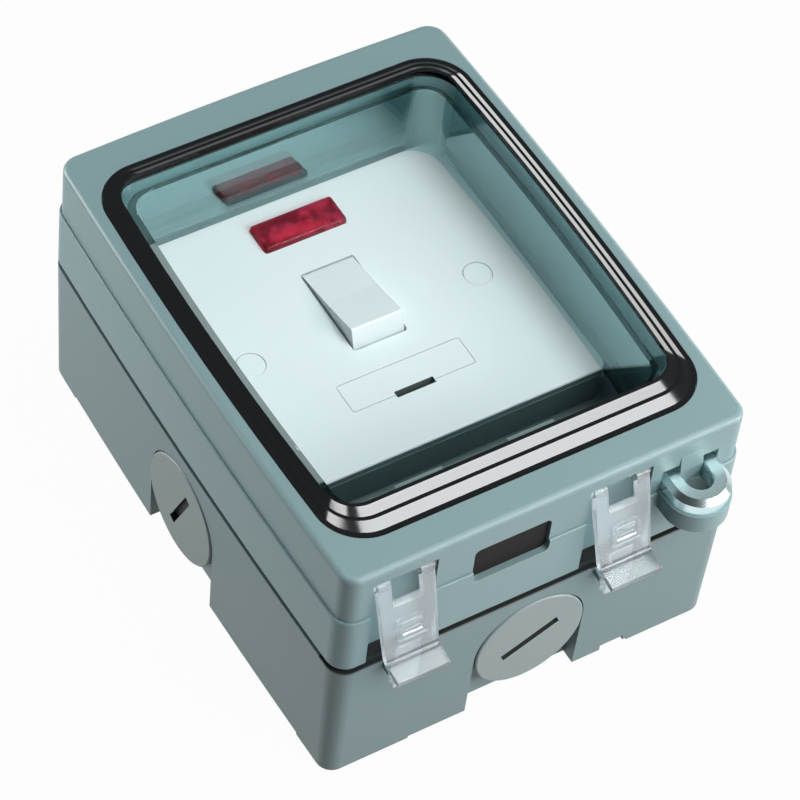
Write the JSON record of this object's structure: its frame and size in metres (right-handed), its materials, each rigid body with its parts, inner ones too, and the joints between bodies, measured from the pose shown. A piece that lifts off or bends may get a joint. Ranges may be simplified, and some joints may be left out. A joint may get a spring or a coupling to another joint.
{
  "type": "weatherproof fused spur unit",
  "caption": "Surface box with a hinged, latched lid and smoked window over a switched fused connection unit with neon, rocker and draw-out fuse carrier.",
  "frame": {"origin": "middle of the four wall-fixing holes, on the plane of the feet that touch the wall", "axes": "+X along the latch wall, +Y from the latch wall to the hinge, +Z out of the wall"},
  "size_m": [0.1053, 0.1556, 0.0734],
  "materials": {
    "grey_moulding": "fine satin moulding",
    "grey_plug": "fine satin moulding",
    "black_seal": "matt",
    "black_shutter": "matt",
    "black_bezel": "glossy",
    "smoked_window": "clear, lightly smoked polycarbonate",
    "clear_latch": "clear polycarbonate",
    "plated_steel": "bright plated",
    "steel": "plain",
    "dark_frame": "satin",
    "white_plate": "semi-gloss",
    "white_rocker": "gloss",
    "white_housing": "satin",
    "red_lens": "clear red",
    "lamp_glass": "clear",
    "brass": "plain",
    "fuse_cap_metal": "plain",
    "fuse_ceramic": "matt"
  },
  "bodies": {
    "base": {"base_box": "grey_moulding", "blanking_plug_front": "grey_plug", "blanking_plug_back": "grey_plug", "blanking_plug_left": "grey_plug", "lid_seal": "black_seal", "plug_washers": "black_seal", "hinge_pins": "steel", "frame_screws": "steel", "plate_screws": "steel", "rocker_pin": "steel", "contact_pin": "steel", "mounting_frame": "dark_frame", "accessory_plate": "white_plate", "screw_caps": "white_plate", "rear_housing": "white_housing", "neon_lens": "red_lens", "neon_lamp": "lamp_glass", "brass_inserts": "brass", "terminals": "brass", "terminal_screws": "brass", "fixed_contacts": "brass", "fuse_clips": "brass"},
    "lid": {"lid_frame": "grey_moulding", "window": "smoked_window", "window_seal": "black_seal", "window_bezel": "black_bezel", "cable_shutter": "black_shutter", "padlock_staple": "plated_steel"},
    "latch_left": {"latch_left": "clear_latch"},
    "latch_right": {"latch_right": "clear_latch"},
    "rocker": {"rocker": "white_rocker"},
    "contact_carrier": {"contact_carrier": "white_housing", "moving_contacts": "brass"},
    "fuse_carrier": {"fuse_carrier": "white_plate", "fuse_body": "fuse_ceramic", "fuse_caps": "fuse_cap_metal"}
  },
  "joints": [
    {"name": "lid_hinge", "type": "hinge", "parent": "base", "child": "lid", "pos_m": [0, 0.073, 0.0401], "axis": [-1, 0, 0], "range_deg": [0, 110]},
    {"name": "latch_left_pivot", "type": "hinge", "parent": "lid", "child": "latch_left", "pos_m": [-0.0365, -0.0655, 0.066], "axis": [-1, 0, 0], "range_deg": [0, 90]},
    {"name": "latch_right_pivot", "type": "hinge", "parent": "lid", "child": "latch_right", "pos_m": [0.0183, -0.0655, 0.066], "axis": [-1, 0, 0], "range_deg": [0, 90]},
    {"name": "rocker_tilt", "type": "hinge", "parent": "base", "child": "rocker", "pos_m": [0, 0.0157, 0.0461], "axis": [1, 0, 0], "range_deg": [0, 23]},
    {"name": "contact_tilt", "type": "hinge", "parent": "base", "child": "contact_carrier", "pos_m": [0, 0.0157, 0.0358], "axis": [1, 0, 0], "range_deg": [-12.2, 0]},
    {"name": "fuse_draw", "type": "slide", "parent": "base", "child": "fuse_carrier", "axis": [0, 0, 1], "range_m": [0, 0.012]}
  ],
  "couplings": [
    {"joint": "contact_tilt", "follows": "rocker_tilt", "ratio": -0.52}
  ]
}
